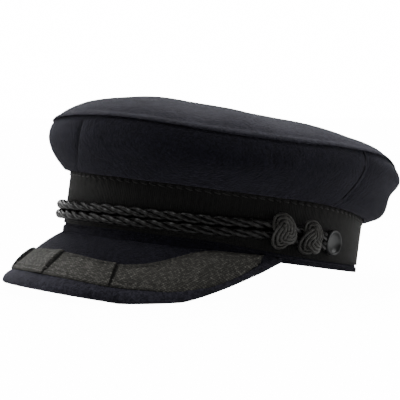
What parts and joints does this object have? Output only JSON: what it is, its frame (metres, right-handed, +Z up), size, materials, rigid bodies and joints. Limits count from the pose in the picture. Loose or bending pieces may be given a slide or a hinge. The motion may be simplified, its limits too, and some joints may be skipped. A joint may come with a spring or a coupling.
{
  "type": "captain cap",
  "caption": "Soft wool captain cap with a domed crown, ribboned band, curved peak, twisted cords, woven knots and side buttons.",
  "frame": {"origin": "centre of the bounding box's bottom face, on the surface that the cap rests on", "axes": "+Z up, -Y towards the peak, +X towards the wearer's left; the cap leans back on the rear of its band and the sides of its peak"},
  "size_m": [0.2118, 0.2734, 0.1197],
  "materials": {
    "wool": "felted navy wool",
    "band_ribbon": "black ribbed ribbon",
    "peak_ribbon": "black pebbled ribbon with a low sheen",
    "cord": "twisted black cord with a soft sheen",
    "button": "dark semi-gloss"
  },
  "bodies": {
    "root": {"crown_top": "wool", "crown_panel_front_left": "wool", "crown_panel_back_left": "wool", "crown_panel_back_right": "wool", "crown_panel_front_right": "wool", "band": "wool", "band_ribbon": "band_ribbon", "visor": "wool", "visor_ribbon": "peak_ribbon", "cord_upper": "cord", "cord_lower": "cord", "knot_left_front": "cord", "knot_left_rear": "cord", "knot_right_front": "cord", "knot_right_rear": "cord", "button_left": "button", "button_right": "button"}
  },
  "joints": []
}
